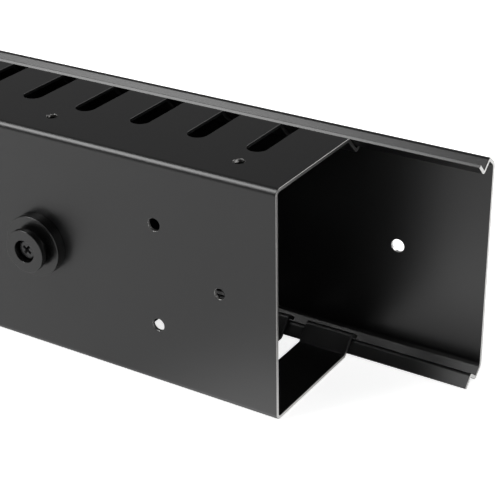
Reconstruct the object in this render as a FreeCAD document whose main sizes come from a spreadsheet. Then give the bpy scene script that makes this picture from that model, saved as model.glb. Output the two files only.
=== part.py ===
import FreeCAD, Part
import Sketcher
import math
import os

# Vertical cable manager: a slotted sheet-steel duct with a sliding clip-over cover, hung in a
# rack by two stepped buttons. Millimetres. The duct lies on one side wall: X runs along it,
# Y from its back wall towards the cover, Z across its width. The origin is the middle of the
# back wall's outer face.

# Driving dimensions, each an alias in the sheet "Sizes".
DIMENSIONS = {
    # sheet metal
    "sheet_thickness": 1.2,
    "wall_bend_inside": 1.0,
    # channel
    "section_length": 905.5,
    "channel_width": 76.2,
    "finger_bend_depth": 42.1,
    "finger_angle": 46.0,
    "finger_inner_leg": 6.6,
    "hook_angle": 38.0,
    "hook_leg": 3.4,
    # slots between the fingers
    "slot_pitch": 21.1,
    "slot_width": 6.7,
    "slot_floor": 20.05,
    "end_finger_least": 15.0,
    # holes in the channel
    "tie_hole_radius": 1.8,
    "tie_hole_from_end": 19.5,
    "side_hole_depth": 12.0,
    "side_hole_from_end": 88.1,
    "pair_hole_radius": 2.1,
    "pair_hole_from_end": 42.2,
    "pair_hole_spacing": 34.2,
    # cover
    "lip_clearance": 0.35,
    "lip_bend_inside": 0.3,
    "lip_free_leg": 3.8,
    "lip_long_leg": 3.3,
    "lip_slope": 2.6,
    "slope_angle": 38.0,
    "plate_bend_inside": 1.8,
    "cover_overhang": 41.4,
    "cover_hole_radius": 2.15,
    "cover_hole_from_end": 29.9,
    # mounting buttons
    "button_from_end": 86.8,
    "collar_radius": 10.2,
    "collar_thickness": 4.0,
    "neck_radius": 5.0,
    "keyhole_gap": 2.0,
    "head_radius": 7.15,
    "head_thickness": 2.0,
    "recess_radius": 3.75,
    "recess_depth": 3.6,
    "rim_chamfer": 0.3,
    # screws, washers and nuts
    "screw_radius": 1.75,
    "screw_hole_clearance": 0.15,
    "screw_length": 10.0,
    "screw_head_radius": 3.4,
    "screw_head_height": 2.0,
    "screw_head_chamfer": 0.6,
    "cross_width": 0.9,
    "cross_length": 3.6,
    "cross_depth": 1.1,
    "washer_radius": 3.3,
    "washer_thickness": 0.8,
    "washer_split": 0.8,
    "nut_across_flats": 7.9,
    "nut_thickness": 2.8,
    "nut_clearance": 0.05,
}


class Size:
    """A length or angle, as a number and as the formula over the sheet that gives it."""

    def __init__(self, value, text):
        self.value = value
        self.text = text

    def __add__(self, other):
        other = as_size(other)
        return Size(self.value + other.value, f"({self.text} + {other.text})")

    def __sub__(self, other):
        other = as_size(other)
        return Size(self.value - other.value, f"({self.text} - {other.text})")

    def __mul__(self, other):
        other = as_size(other)
        return Size(self.value * other.value, f"({self.text} * {other.text})")

    def __truediv__(self, other):
        other = as_size(other)
        return Size(self.value / other.value, f"({self.text} / {other.text})")

    def __neg__(self):
        return Size(-self.value, f"(-{self.text})")


def as_size(value):
    return value if isinstance(value, Size) else Size(value, repr(float(value)))


def sine(angle):
    return Size(math.sin(math.radians(angle.value)), f"sin({angle.text} * 1 deg)")


def cosine(angle):
    return Size(math.cos(math.radians(angle.value)), f"cos({angle.text} * 1 deg)")


def whole_below(ratio):
    return Size(math.floor(ratio.value), f"floor({ratio.text})")


doc = FreeCAD.newDocument("cable_manager")
sheet = doc.addObject("Spreadsheet::Sheet", "Sizes")
size = {}
for row, (alias, number) in enumerate(DIMENSIONS.items(), start=1):
    sheet.set(f"A{row}", alias)
    sheet.set(f"B{row}", str(number))
    sheet.setAlias(f"B{row}", alias)
    size[alias] = Size(number, f"Sizes.{alias}")
doc.recompute()

# Sizes and places that several pieces share, worked out from the driving dimensions.
nothing = as_size(0)
thickness = size["sheet_thickness"]
half_length = size["section_length"] / 2
half_width = size["channel_width"] / 2
wall_corner = size["wall_bend_inside"] + thickness
half_sheet = thickness / 2
lip_middle = size["lip_bend_inside"] + half_sheet
button_place = half_length - size["button_from_end"]
button_height = size["collar_thickness"] + size["keyhole_gap"] + size["head_thickness"]
recess_floor = button_height - size["recess_depth"]
screw_hole_radius = size["screw_radius"] + size["screw_hole_clearance"]
nut_seat = thickness + size["washer_thickness"]
ENDS = (("right", 1), ("left", -1))

# The duct has 84 slots and 86 finger tips, so their small round stretches are drawn as flats.
SLOT_END_FLAT_COUNT = 5
FINGER_BEND_FLAT_COUNT = 1
VALLEY_FLAT_COUNT = 2


def new_body(name):
    body = doc.addObject("PartDesign::Body", name)
    body.Label = name
    return body


def place_body(body, x=nothing, y=nothing):
    body.setExpression("Placement.Base.x", x.text)
    body.setExpression("Placement.Base.y", y.text)


def new_sketch(body, name, plane):
    """A sketch on one of the body's own origin planes."""
    sketch = body.newObject("Sketcher::SketchObject", name)
    support = next(o for o in body.Origin.OriginFeatures if o.Role == plane)
    sketch.AttachmentSupport = [(support, "")]
    sketch.MapMode = "FlatFace"
    return sketch


def constrain(sketch, *definition):
    sketch.addConstraint(Sketcher.Constraint(*definition))


def dimension(sketch, label, definition, amount):
    """A length constraint with a name, bound to the formula of its size."""
    index = sketch.addConstraint(Sketcher.Constraint(*definition, amount.value))
    sketch.renameConstraint(index, label)
    sketch.setExpression(f"Constraints.{label}", amount.text)


def dimension_angle(sketch, label, line, heading):
    """Sets the way that a line runs, in degrees from the sketch's level axis."""
    index = sketch.addConstraint(Sketcher.Constraint("Angle", line, math.radians(heading.value)))
    sketch.renameConstraint(index, label)
    sketch.setExpression(f"Constraints.{label}", heading.text)


def hold_at(sketch, label, geometry, point, axis, level):
    """Holds a point at its level from the sketch's origin along one axis."""
    if abs(level.value) < 1e-9:
        constrain(sketch, "PointOnObject", geometry, point, -2 if axis == "X" else -1)
    elif level.value < 0:
        dimension(sketch, label, (f"Distance{axis}", geometry, point, -1, 1), -level)
    else:
        dimension(sketch, label, (f"Distance{axis}", -1, 1, geometry, point), level)


def add_circle(sketch, label, x, y, radius):
    circle = Part.Circle(FreeCAD.Vector(x.value, y.value, 0), FreeCAD.Vector(0, 0, 1), radius.value)
    index = sketch.addGeometry(circle, False)
    dimension(sketch, f"{label}_radius", ("Radius", index), radius)
    hold_at(sketch, f"{label}_x", index, 3, "X", x)
    hold_at(sketch, f"{label}_y", index, 3, "Y", y)


def add_flats(sketch, arc, start, end, count):
    """Draws equal flats on a construction arc, from the vertex at its start to that at its end."""
    curve = sketch.Geometry[arc]
    sweep = curve.LastParameter - curve.FirstParameter
    points = [curve.value(curve.FirstParameter + sweep * i / count) for i in range(count + 1)]
    flats = []
    for i in range(count):
        flats.append(sketch.addGeometry(Part.LineSegment(points[i], points[i + 1]), False))
        if i > 0:
            constrain(sketch, "Coincident", flats[i - 1], 2, flats[i], 1)
            constrain(sketch, "PointOnObject", flats[i], 1, arc)
            constrain(sketch, "Equal", flats[0], flats[i])
    constrain(sketch, "Coincident", flats[0], 1, *start)
    constrain(sketch, "Coincident", flats[-1], 2, *end)


def add_steps(sketch, corners):
    """A closed outline of level and upright lines; each shares a coordinate with the next."""
    points = [FreeCAD.Vector(x.value, y.value, 0) for x, y in corners]
    count = len(points)
    for i in range(count):
        sketch.addGeometry(Part.LineSegment(points[i], points[(i + 1) % count]), False)
    for i in range(count):
        constrain(sketch, "Coincident", i, 2, (i + 1) % count, 1)
    for i, (x, y) in enumerate(corners):
        if corners[(i + 1) % count][1] is y:
            constrain(sketch, "Horizontal", i)
            hold_at(sketch, f"step_{i}", i, 1, "Y", y)
        else:
            constrain(sketch, "Vertical", i)
            hold_at(sketch, f"step_{i}", i, 1, "X", x)


def check_sketch(sketch):
    if sketch.solve() != 0 or not sketch.FullyConstrained:
        raise RuntimeError(f"{sketch.Name} isn't fully constrained")


def pad(body, name, sketch, length):
    check_sketch(sketch)
    feature = body.newObject("PartDesign::Pad", name)
    feature.Profile = sketch
    feature.SideType = "Symmetric"
    feature.setExpression("Length", length.text)
    return feature


def pocket_through(body, name, sketch):
    """Cuts the sketch right through the body, both ways from its plane."""
    check_sketch(sketch)
    feature = body.newObject("PartDesign::Pocket", name)
    feature.Profile = sketch
    feature.Type = "ThroughAll"
    feature.SideType = "Symmetric"
    return feature


def turn(body, name, sketch):
    """Turns the outline about the sketch's upright axis, as on a lathe."""
    check_sketch(sketch)
    feature = body.newObject("PartDesign::Revolution", name)
    feature.Profile = sketch
    feature.ReferenceAxis = (sketch, ["V_Axis"])
    feature.Angle = 360
    return feature


def chamfer_rims(body, name, rims, amount):
    """Chamfers the round edges given as (radius, level) about the turning axis."""
    doc.recompute()
    base = body.Tip
    names = []
    for i, edge in enumerate(base.Shape.Edges, start=1):
        if not isinstance(edge.Curve, Part.Circle):
            continue
        for radius, level in rims:
            same_radius = abs(edge.Curve.Radius - radius.value) < 1e-6
            if same_radius and abs(edge.Curve.Center.y - level.value) < 1e-6:
                names.append(f"Edge{i}")
    feature = body.newObject("PartDesign::Chamfer", name)
    feature.Base = (base, names)
    feature.setExpression("Size", amount.text)
    body.Tip = feature


class Fold:
    """One flat of a folded sheet: the way it runs, its length, and the bend before it.

    A flat with no length is settled by the rest of the section; guess is where it starts.
    The bend is round, with the radius inside, or a crease: sharp within and flats without."""

    def __init__(self, heading, length=None, guess=0.0, inside=None, flats=0):
        self.heading = heading
        self.length = length
        self.guess = guess if length is None else length.value
        self.inside = inside
        self.flats = flats


def direction(degrees):
    return FreeCAD.Vector(math.cos(math.radians(degrees)), math.sin(math.radians(degrees)), 0)


def fold_sheet(sketch, start, folds):
    """Draws the section of a sheet of even thickness through its folds.

    start is the middle of the sheet's first edge. Each flat is a pair of lines, the one on the
    left of the way that the section runs first. Each round bend is a pair of arcs about one
    centre, and each crease a construction arc about its sharp corner, which the flats follow.
    Returns the left lines and the outer arcs."""
    half = thickness.value / 2
    point = FreeCAD.Vector(*start, 0)
    lines = []
    arcs = []
    for i, fold in enumerate(folds):
        left = direction(fold.heading.value + 90)
        if i > 0:
            turned = fold.heading.value - folds[i - 1].heading.value
            side = 1 if turned > 0 else -1
            left_before = direction(folds[i - 1].heading.value + 90)
            inside = fold.inside.value if fold.inside else 0.0
            centre = point + left_before * (side * (inside + half))
            first_angle = math.radians(folds[i - 1].heading.value - side * 90)
            sweep = sorted((first_angle, first_angle + math.radians(turned)))
            radii = (inside, inside + half * 2) if fold.inside else (half * 2,)
            arcs.append([])
            for radius in radii:
                circle = Part.Circle(centre, FreeCAD.Vector(0, 0, 1), radius)
                arc = Part.ArcOfCircle(circle, *sweep)
                arcs[-1].append(sketch.addGeometry(arc, not fold.inside))
            point = centre - left * (side * (inside + half))
        end = point + direction(fold.heading.value) * fold.guess
        lines.append([])
        for offset in (left * half, left * -half):
            lines[-1].append(sketch.addGeometry(Part.LineSegment(point + offset, end + offset), False))
        point = end

    for i, fold in enumerate(folds):
        if fold.heading.value % 90 == 0:
            level = fold.heading.value % 180 == 0
            constrain(sketch, "Horizontal" if level else "Vertical", lines[i][0])
        else:
            dimension_angle(sketch, f"heading_{i}", lines[i][0], fold.heading)
        if fold.length is not None:
            dimension(sketch, f"flat_{i}", ("Distance", lines[i][0]), fold.length)
        if i == 0:
            continue
        turns_left = fold.heading.value > folds[i - 1].heading.value
        first, last = (1, 2) if turns_left else (2, 1)
        inner_side, outer_side = (0, 1) if turns_left else (1, 0)
        outer = arcs[i - 1][-1]
        constrain(sketch, "Tangent", lines[i - 1][outer_side], 2, outer, first)
        constrain(sketch, "Tangent", outer, last, lines[i][outer_side], 1)
        if fold.inside:
            inner = arcs[i - 1][0]
            constrain(sketch, "Tangent", lines[i - 1][inner_side], 2, inner, first)
            constrain(sketch, "Tangent", inner, last, lines[i][inner_side], 1)
            constrain(sketch, "Coincident", inner, 3, outer, 3)
            dimension(sketch, f"inside_{i}", ("Radius", inner), fold.inside)
            dimension(sketch, f"outside_{i}", ("Radius", outer), fold.inside + thickness)
        else:
            constrain(sketch, "Coincident", lines[i - 1][inner_side], 2, lines[i][inner_side], 1)
            constrain(sketch, "Coincident", outer, 3, lines[i][inner_side], 1)
            dimension(sketch, f"outside_{i}", ("Radius", outer), thickness)
            vertices = [(lines[i - 1][outer_side], 2), (lines[i][outer_side], 1)]
            add_flats(sketch, outer, vertices[first - 1], vertices[last - 1], fold.flats)
    for pair, end in ((lines[0], 1), (lines[-1], 2)):
        edge = Part.LineSegment(sketch.getPoint(pair[0], end), sketch.getPoint(pair[1], end))
        cap = sketch.addGeometry(edge, False)
        constrain(sketch, "Coincident", cap, 1, pair[0], end)
        constrain(sketch, "Coincident", cap, 2, pair[1], end)
        constrain(sketch, "Perpendicular", cap, pair[0])
        constrain(sketch, "Parallel", pair[0], pair[1])
    return [pair[0] for pair in lines], [pair[-1] for pair in arcs]


# The valley of the V at a finger's tip: the corner of its crease, in depth and from mid-width.
lean = size["finger_angle"]
hook = size["hook_angle"]
leg = size["finger_inner_leg"]
valley_depth = size["finger_bend_depth"] + thickness * sine(lean) + leg * cosine(lean)
valley_offset = half_width - thickness + thickness * cosine(lean) - leg * sine(lean)

# The cover's V nests in that valley from outside: its bend's centre lies the bend, one sheet
# and one clearance away from both sides of the valley.
nest = size["lip_bend_inside"] + thickness + size["lip_clearance"]
lip_depth = valley_depth + nest * (cosine(hook) - cosine(lean)) / sine(lean + hook)
lip_offset = valley_offset + nest * (sine(lean) + sine(hook)) / sine(lean + hook)


def make_channel():
    """The duct: a U of folded sheet whose side walls are cut into fingers with V tips."""
    body = new_body("channel")
    corner = size["wall_bend_inside"]
    side_wall = size["finger_bend_depth"] - wall_corner
    section = new_sketch(body, "channel_section", "YZ_Plane")
    half_turn = as_size(180)
    folds = [
        Fold(half_turn - hook, size["hook_leg"]),
        Fold(half_turn + lean, leg, flats=VALLEY_FLAT_COUNT),
        Fold(half_turn, side_wall, flats=FINGER_BEND_FLAT_COUNT),
        Fold(as_size(90), size["channel_width"] - wall_corner * 2, inside=corner),
        Fold(nothing, side_wall, inside=corner),
        Fold(-lean, leg, flats=FINGER_BEND_FLAT_COUNT),
        Fold(hook, size["hook_leg"], flats=VALLEY_FLAT_COUNT),
    ]
    tip_depth = valley_depth + half_sheet * sine(hook) + size["hook_leg"] * cosine(hook)
    tip_offset = valley_offset - half_sheet * cosine(hook) + size["hook_leg"] * sine(hook)
    lines, _ = fold_sheet(section, (tip_depth.value, -tip_offset.value), folds)
    back_wall = lines[3]
    constrain(section, "Symmetric", back_wall, 1, back_wall, 2, -1, 1)
    pad(body, "channel_sheet", section, size["section_length"])

    back_holes = new_sketch(body, "back_holes", "XZ_Plane")
    side_holes = new_sketch(body, "side_holes", "XY_Plane")
    for end, way in ENDS:
        tie = (half_length - size["tie_hole_from_end"]) * way
        pair = (half_length - size["pair_hole_from_end"]) * way
        side = (half_length - size["side_hole_from_end"]) * way
        add_circle(back_holes, f"tie_{end}", tie, nothing, size["tie_hole_radius"])
        for edge, up in (("upper", 1), ("lower", -1)):
            offset = size["pair_hole_spacing"] / 2 * up
            add_circle(back_holes, f"{edge}_{end}", pair, offset, size["pair_hole_radius"])
        add_circle(back_holes, f"screw_{end}", button_place * way, nothing, screw_hole_radius)
        for name, place in (("outer", tie), ("inner", side)):
            depth = size["side_hole_depth"]
            add_circle(side_holes, f"{name}_{end}", place, depth, size["tie_hole_radius"])
    pocket_through(body, "back_hole_cut", back_holes)
    pocket_through(body, "side_hole_cut", side_holes)

    slot = new_sketch(body, "slot_outline", "XY_Plane")
    radius = size["slot_width"] / 2
    run = size["section_length"] - size["end_finger_least"] * 2 - size["slot_width"]
    count = whole_below(run / size["slot_pitch"]) + 1
    spread = (count - 1) * size["slot_pitch"]
    first_slot = -spread / 2
    round_end = size["slot_floor"] + radius
    past_tips = size["finger_bend_depth"] + (size["finger_inner_leg"] + size["hook_leg"]) * 2
    left = first_slot.value - radius.value
    right = first_slot.value + radius.value
    bottom = round_end.value
    top = past_tips.value
    arc = Part.Circle(FreeCAD.Vector(first_slot.value, bottom, 0), FreeCAD.Vector(0, 0, 1), radius.value)
    slot.addGeometry(Part.ArcOfCircle(arc, math.pi, 2 * math.pi), True)
    corners = [(right, bottom), (right, top), (left, top), (left, bottom)]
    for start, end in zip(corners, corners[1:]):
        slot.addGeometry(Part.LineSegment(FreeCAD.Vector(*start, 0), FreeCAD.Vector(*end, 0)), False)
    constrain(slot, "Tangent", 0, 2, 1, 1)
    constrain(slot, "Coincident", 1, 2, 2, 1)
    constrain(slot, "Coincident", 2, 2, 3, 1)
    constrain(slot, "Tangent", 3, 2, 0, 1)
    constrain(slot, "Vertical", 1)
    constrain(slot, "Horizontal", 2)
    constrain(slot, "Vertical", 3)
    dimension(slot, "slot_radius", ("Radius", 0), radius)
    hold_at(slot, "slot_x", 0, 3, "X", first_slot)
    hold_at(slot, "slot_y", 0, 3, "Y", round_end)
    hold_at(slot, "slot_top", 2, 1, "Y", past_tips)
    add_flats(slot, 0, (3, 2), (1, 1), SLOT_END_FLAT_COUNT)
    first_cut = pocket_through(body, "slot_cut", slot)
    pattern = body.newObject("PartDesign::LinearPattern", "slots")
    pattern.Originals = [first_cut]
    pattern.Direction = (slot, ["H_Axis"])
    pattern.setExpression("Length", spread.text)
    pattern.setExpression("Occurrences", count.text)
    body.Tip = pattern
    return body


def make_cover():
    """The cover: a plate whose sloped edges end in V lips that clip over the finger tips."""
    body = new_body("cover")
    crease = size["lip_bend_inside"]
    bend = size["plate_bend_inside"]
    slope = size["slope_angle"]
    section = new_sketch(body, "cover_section", "YZ_Plane")
    half_turn = as_size(180)
    free_leg = size["lip_free_leg"]
    long_leg = size["lip_long_leg"]
    folds = [
        Fold(lean, free_leg),
        Fold(-hook, long_leg, inside=crease),
        Fold(slope, size["lip_slope"], inside=crease),
        Fold(as_size(90), guess=half_width.value * 2 - 10, inside=bend),
        Fold(half_turn - slope, size["lip_slope"], inside=bend),
        Fold(half_turn + hook, long_leg, inside=crease),
        Fold(half_turn - lean, free_leg, inside=crease),
    ]
    edge_depth = lip_depth - lip_middle * sine(lean) - free_leg * cosine(lean)
    edge_offset = lip_offset - lip_middle * cosine(lean) + free_leg * sine(lean)
    _, arcs = fold_sheet(section, (edge_depth.value, -edge_offset.value), folds)
    hold_at(section, "lower_lip_depth", arcs[0], 3, "X", lip_depth)
    hold_at(section, "lower_lip_offset", arcs[0], 3, "Y", -lip_offset)
    hold_at(section, "upper_lip_offset", arcs[5], 3, "Y", lip_offset)
    pad(body, "cover_sheet", section, size["section_length"])

    holes = new_sketch(body, "cover_holes", "XZ_Plane")
    for end, way in ENDS:
        place = (half_length - size["cover_hole_from_end"]) * way
        add_circle(holes, f"cover_{end}", place, nothing, size["cover_hole_radius"])
    pocket_through(body, "cover_hole_cut", holes)
    place_body(body, x=size["cover_overhang"])
    return body


def make_button(end, way):
    """A turned mounting button: collar on the wall, neck for the keyhole, sunk-faced head."""
    body = new_body(f"button_{end}")
    collar_face = -size["collar_thickness"]
    head_back = -(size["collar_thickness"] + size["keyhole_gap"])
    head_face = -button_height
    floor_level = -recess_floor
    outline = new_sketch(body, f"button_outline_{end}", "XY_Plane")
    add_steps(outline, [
        (screw_hole_radius, nothing),
        (size["collar_radius"], nothing),
        (size["collar_radius"], collar_face),
        (size["neck_radius"], collar_face),
        (size["neck_radius"], head_back),
        (size["head_radius"], head_back),
        (size["head_radius"], head_face),
        (size["recess_radius"], head_face),
        (size["recess_radius"], floor_level),
        (screw_hole_radius, floor_level),
    ])
    turn(body, f"button_blank_{end}", outline)
    rims = [(size["collar_radius"], collar_face), (size["head_radius"], head_face)]
    chamfer_rims(body, f"button_rims_{end}", rims, size["rim_chamfer"])
    place_body(body, x=button_place * way)
    return body


def make_screw(end, way):
    """A pan-head machine screw with a cross recess, its head down in the button's face."""
    body = new_body(f"screw_{end}")
    head_top = -size["screw_head_height"]
    outline = new_sketch(body, f"screw_outline_{end}", "XY_Plane")
    add_steps(outline, [
        (nothing, head_top),
        (size["screw_head_radius"], head_top),
        (size["screw_head_radius"], nothing),
        (size["screw_radius"], nothing),
        (size["screw_radius"], size["screw_length"]),
        (nothing, size["screw_length"]),
    ])
    turn(body, f"screw_blank_{end}", outline)
    head_rim = [(size["screw_head_radius"], head_top)]
    chamfer_rims(body, f"screw_head_rim_{end}", head_rim, size["screw_head_chamfer"])

    cross = new_sketch(body, f"cross_{end}", "XZ_Plane")
    cross.setExpression("AttachmentOffset.Base.z", size["screw_head_height"].text)
    slim = size["cross_width"] / 2
    reach = size["cross_length"] / 2
    slim_back = -slim
    reach_back = -reach
    add_steps(cross, [
        (reach, slim), (slim, slim), (slim, reach),
        (slim_back, reach), (slim_back, slim), (reach_back, slim),
        (reach_back, slim_back), (slim_back, slim_back), (slim_back, reach_back),
        (slim, reach_back), (slim, slim_back), (reach, slim_back),
    ])
    check_sketch(cross)
    recess = body.newObject("PartDesign::Pocket", f"cross_recess_{end}")
    recess.Profile = cross
    recess.setExpression("Length", size["cross_depth"].text)
    place_body(body, x=button_place * way, y=-recess_floor)
    return body


def make_lock_washer(end, way):
    """A split lock washer, clamped flat between the back wall and the nut."""
    body = new_body(f"lock_washer_{end}")
    outline = new_sketch(body, f"washer_outline_{end}", "XY_Plane")
    add_steps(outline, [
        (screw_hole_radius, nothing),
        (size["washer_radius"], nothing),
        (size["washer_radius"], size["washer_thickness"]),
        (screw_hole_radius, size["washer_thickness"]),
    ])
    turn(body, f"washer_ring_{end}", outline)
    split = new_sketch(body, f"washer_split_{end}", "XZ_Plane")
    middle = screw_hole_radius / 2
    outside = size["washer_radius"] * 2
    upper = size["washer_split"] / 2
    lower = -upper
    add_steps(split, [(middle, lower), (outside, lower), (outside, upper), (middle, upper)])
    pocket_through(body, f"washer_split_cut_{end}", split)
    place_body(body, x=button_place * way, y=thickness)
    return body


def make_nut(end, way):
    """A hexagon nut on the screw's end, inside the duct."""
    body = new_body(f"nut_{end}")
    outline = new_sketch(body, f"nut_outline_{end}", "XZ_Plane")
    corner_radius = size["nut_across_flats"] / as_size(math.sqrt(3))
    corners = [direction(60 * i) * corner_radius.value for i in range(6)]
    for i in range(6):
        outline.addGeometry(Part.LineSegment(corners[i], corners[(i + 1) % 6]), False)
    for i in range(6):
        constrain(outline, "Coincident", i, 2, (i + 1) % 6, 1)
    ring = Part.Circle(FreeCAD.Vector(0, 0, 0), FreeCAD.Vector(0, 0, 1), corner_radius.value)
    ring_index = outline.addGeometry(ring, True)
    constrain(outline, "Coincident", ring_index, 3, -1, 1)
    dimension(outline, "corner_radius", ("Radius", ring_index), corner_radius)
    for i in range(6):
        constrain(outline, "PointOnObject", i, 1, ring_index)
    for i in range(5):
        constrain(outline, "Equal", i, i + 1)
    constrain(outline, "Horizontal", 1)
    bore = size["screw_radius"] + size["nut_clearance"]
    add_circle(outline, "bore", nothing, nothing, bore)
    pad(body, f"nut_blank_{end}", outline, size["nut_thickness"])
    place_body(body, x=button_place * way, y=nut_seat + size["nut_thickness"] / 2)
    return body


pieces = [make_channel(), make_cover()]
for end, way in ENDS:
    pieces.append(make_button(end, way))
    pieces.append(make_screw(end, way))
    pieces.append(make_lock_washer(end, way))
    pieces.append(make_nut(end, way))
doc.recompute()

for item in doc.Objects:
    if "Invalid" in item.State or "Error" in item.State:
        raise RuntimeError(f"{item.Label} failed: {item.State}")
for piece in pieces:
    shape = piece.Shape
    if shape.isNull() or not shape.isValid() or len(shape.Solids) != 1:
        raise RuntimeError(f"{piece.Label} has no valid single solid")

os.makedirs("parts", exist_ok=True)
for piece in pieces:
    piece.Shape.exportStep(f"parts/{piece.Label}.step")
    box = piece.Shape.BoundBox
    corner_low = (round(box.XMin, 2), round(box.YMin, 2), round(box.ZMin, 2))
    corner_high = (round(box.XMax, 2), round(box.YMax, 2), round(box.ZMax, 2))
    print(piece.Label, corner_low, corner_high, round(piece.Shape.Volume, 1))
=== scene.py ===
import bmesh
import bpy
import math
from mathutils import Matrix, Vector


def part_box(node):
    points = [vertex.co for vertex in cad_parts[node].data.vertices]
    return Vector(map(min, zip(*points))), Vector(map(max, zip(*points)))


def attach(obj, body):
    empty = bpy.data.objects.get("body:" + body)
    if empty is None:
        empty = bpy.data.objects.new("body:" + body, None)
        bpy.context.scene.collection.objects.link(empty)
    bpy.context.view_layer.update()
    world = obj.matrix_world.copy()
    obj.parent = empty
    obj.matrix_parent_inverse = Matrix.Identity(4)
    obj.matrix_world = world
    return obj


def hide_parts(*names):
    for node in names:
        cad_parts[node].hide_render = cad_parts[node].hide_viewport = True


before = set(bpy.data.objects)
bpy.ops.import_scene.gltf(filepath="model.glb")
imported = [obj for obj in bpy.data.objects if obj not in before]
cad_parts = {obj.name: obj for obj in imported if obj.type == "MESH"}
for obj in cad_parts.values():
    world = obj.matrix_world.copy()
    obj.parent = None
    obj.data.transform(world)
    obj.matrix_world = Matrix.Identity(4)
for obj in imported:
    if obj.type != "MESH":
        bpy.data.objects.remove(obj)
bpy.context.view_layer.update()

# The duct: one strip of steel sheet, slotted flat, then folded on a press brake: two square wall
# bends, a lean at the root of each finger tip, and the V crease. The powder coat then rounds the
# slots' edges. The holes and the two ends were cut after coating, and show bare steel.
MM = 0.001
SHEET = 1.2 * MM
WALL_BEND = 1.0 * MM
CREASE = 0.3 * MM
FINGER_BEND_DEPTH = 42.0 * MM
FINGER_ANGLE = math.radians(46)
FINGER_LEG = 6.2 * MM
HOOK_ANGLE = math.radians(38)
HOOK_LEG = 3.1 * MM
SLOT_PITCH = 21.1 * MM
SLOT_WIDTH = 6.7 * MM
SLOT_FLOOR = 20.05 * MM
SLOT_COUNT = 42
SLOT_ARC_STEPS = 24
TIE_HOLE = 1.8 * MM
TIE_FROM_END = 19.5 * MM
SIDE_HOLE_DEPTH = 12.0 * MM
SIDE_FROM_END = 88.1 * MM
PAIR_HOLE = 2.1 * MM
PAIR_FROM_END = 42.2 * MM
PAIR_SPACING = 34.2 * MM
SCREW_HOLE = 1.9 * MM
BUTTON_FROM_END = 86.8 * MM
HOLE_STEPS = 48
END_MARGIN = 0.01 * MM
COATED_EDGE = 0.2 * MM
ROUNDED_FROM = math.radians(50)

channel_low, channel_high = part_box("channel")
half_length = channel_high.x
half_width = channel_high.z
button_place = half_length - BUTTON_FROM_END


def add(tree, kind, settings=None, **links):
    """Adds a node, sets its properties, and links or sets its inputs.

    An input is given by its name, with _ for a space, or by its number, as in_0."""
    node = tree.nodes.new(kind)
    for name, value in (settings or {}).items():
        setattr(node, name, value)
    for name, value in links.items():
        number = name.rsplit("_", 1)[-1]
        key = int(number) if number.isdigit() else name.replace("_", " ")
        socket = node.inputs[key]
        if isinstance(value, bpy.types.NodeSocket):
            tree.links.new(value, socket)
        else:
            socket.default_value = value
    return node


def linear(code):
    """An sRGB hex colour as the linear values that Blender's sockets hold."""
    channels = [int(code[i:i + 2], 16) / 255 for i in (1, 3, 5)]
    curve = [c / 12.92 if c <= 0.04045 else ((c + 0.055) / 1.055) ** 2.4 for c in channels]
    return (*curve, 1)


def start_material(name):
    """A new material: itself, its nodes, its shader's inputs, and the point on the object."""
    material = bpy.data.materials.new(name)
    material.use_nodes = True
    tree = material.node_tree
    place = add(tree, "ShaderNodeTexCoord").outputs["Object"]
    return material, tree, tree.nodes["Principled BSDF"].inputs, place


def powder_coat():
    """Satin black powder coat on steel: baked polyester powder, near black and even, with the
    soft sheen and faint orange peel of powder that has flowed."""
    material, tree, surface, place = start_material("satin_black_powder_coat")
    surface["IOR"].default_value = 1.5
    # The coat's tone drifts over about 40 mm, and its orange peel is about 1.2 mm across. Its
    # grain is drawn 0.25 mm across, coarser than real powder, so that it can show close up.
    drift = add(tree, "ShaderNodeTexNoise", Vector=place, Scale=1 / (40 * MM), Detail=3.0).outputs["Fac"]
    peel = add(tree, "ShaderNodeTexNoise", Vector=place, Scale=1 / (1.2 * MM), Detail=1.0).outputs["Fac"]
    grain = add(tree, "ShaderNodeTexNoise", Vector=place, Scale=1 / (0.25 * MM), Detail=2.0).outputs["Fac"]
    tone = add(
        tree, "ShaderNodeMix", {"data_type": "RGBA"}, Factor=drift,
        in_6=linear("#050505"), in_7=linear("#080809"),
    )
    tree.links.new(tone.outputs[2], surface["Base Color"])
    sheen = add(tree, "ShaderNodeMapRange", Value=grain, To_Min=0.31, To_Max=0.37).outputs[0]
    tree.links.new(sheen, surface["Roughness"])
    waves = add(tree, "ShaderNodeBump", Height=peel, Strength=0.3, Distance=0.012 * MM).outputs[0]
    bump = add(
        tree, "ShaderNodeBump", Height=grain, Strength=0.2, Distance=0.004 * MM, Normal=waves
    ).outputs[0]
    tree.links.new(bump, surface["Normal"])
    return material


def cut_steel(name, dark, light):
    """Steel where the coated sheet was cut to length and drilled: a grey metal mottled by the
    blade's marks, bright on the cover; the duct's copy is darker, which is painted shade."""
    material, tree, surface, place = start_material(name)
    surface["Metallic"].default_value = 1.0
    surface["Roughness"].default_value = 0.36
    # The blade's marks are about 0.5 mm apart.
    marks = add(tree, "ShaderNodeTexNoise", Vector=place, Scale=1 / (0.5 * MM), Detail=3.0).outputs["Fac"]
    tone = add(
        tree, "ShaderNodeMix", {"data_type": "RGBA"}, Factor=marks,
        in_6=linear(dark), in_7=linear(light),
    )
    tree.links.new(tone.outputs[2], surface["Base Color"])
    return material


coat = powder_coat()
bright_steel = cut_steel("freshly_cut_steel", "#b8b8b8", "#dddcda")
# The duct's holes and ends get a darker copy of the cut steel: painted shade.
shaded_cut_steel = cut_steel("cut_steel_with_painted_shade", "#828282", "#a09f9d")


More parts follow.
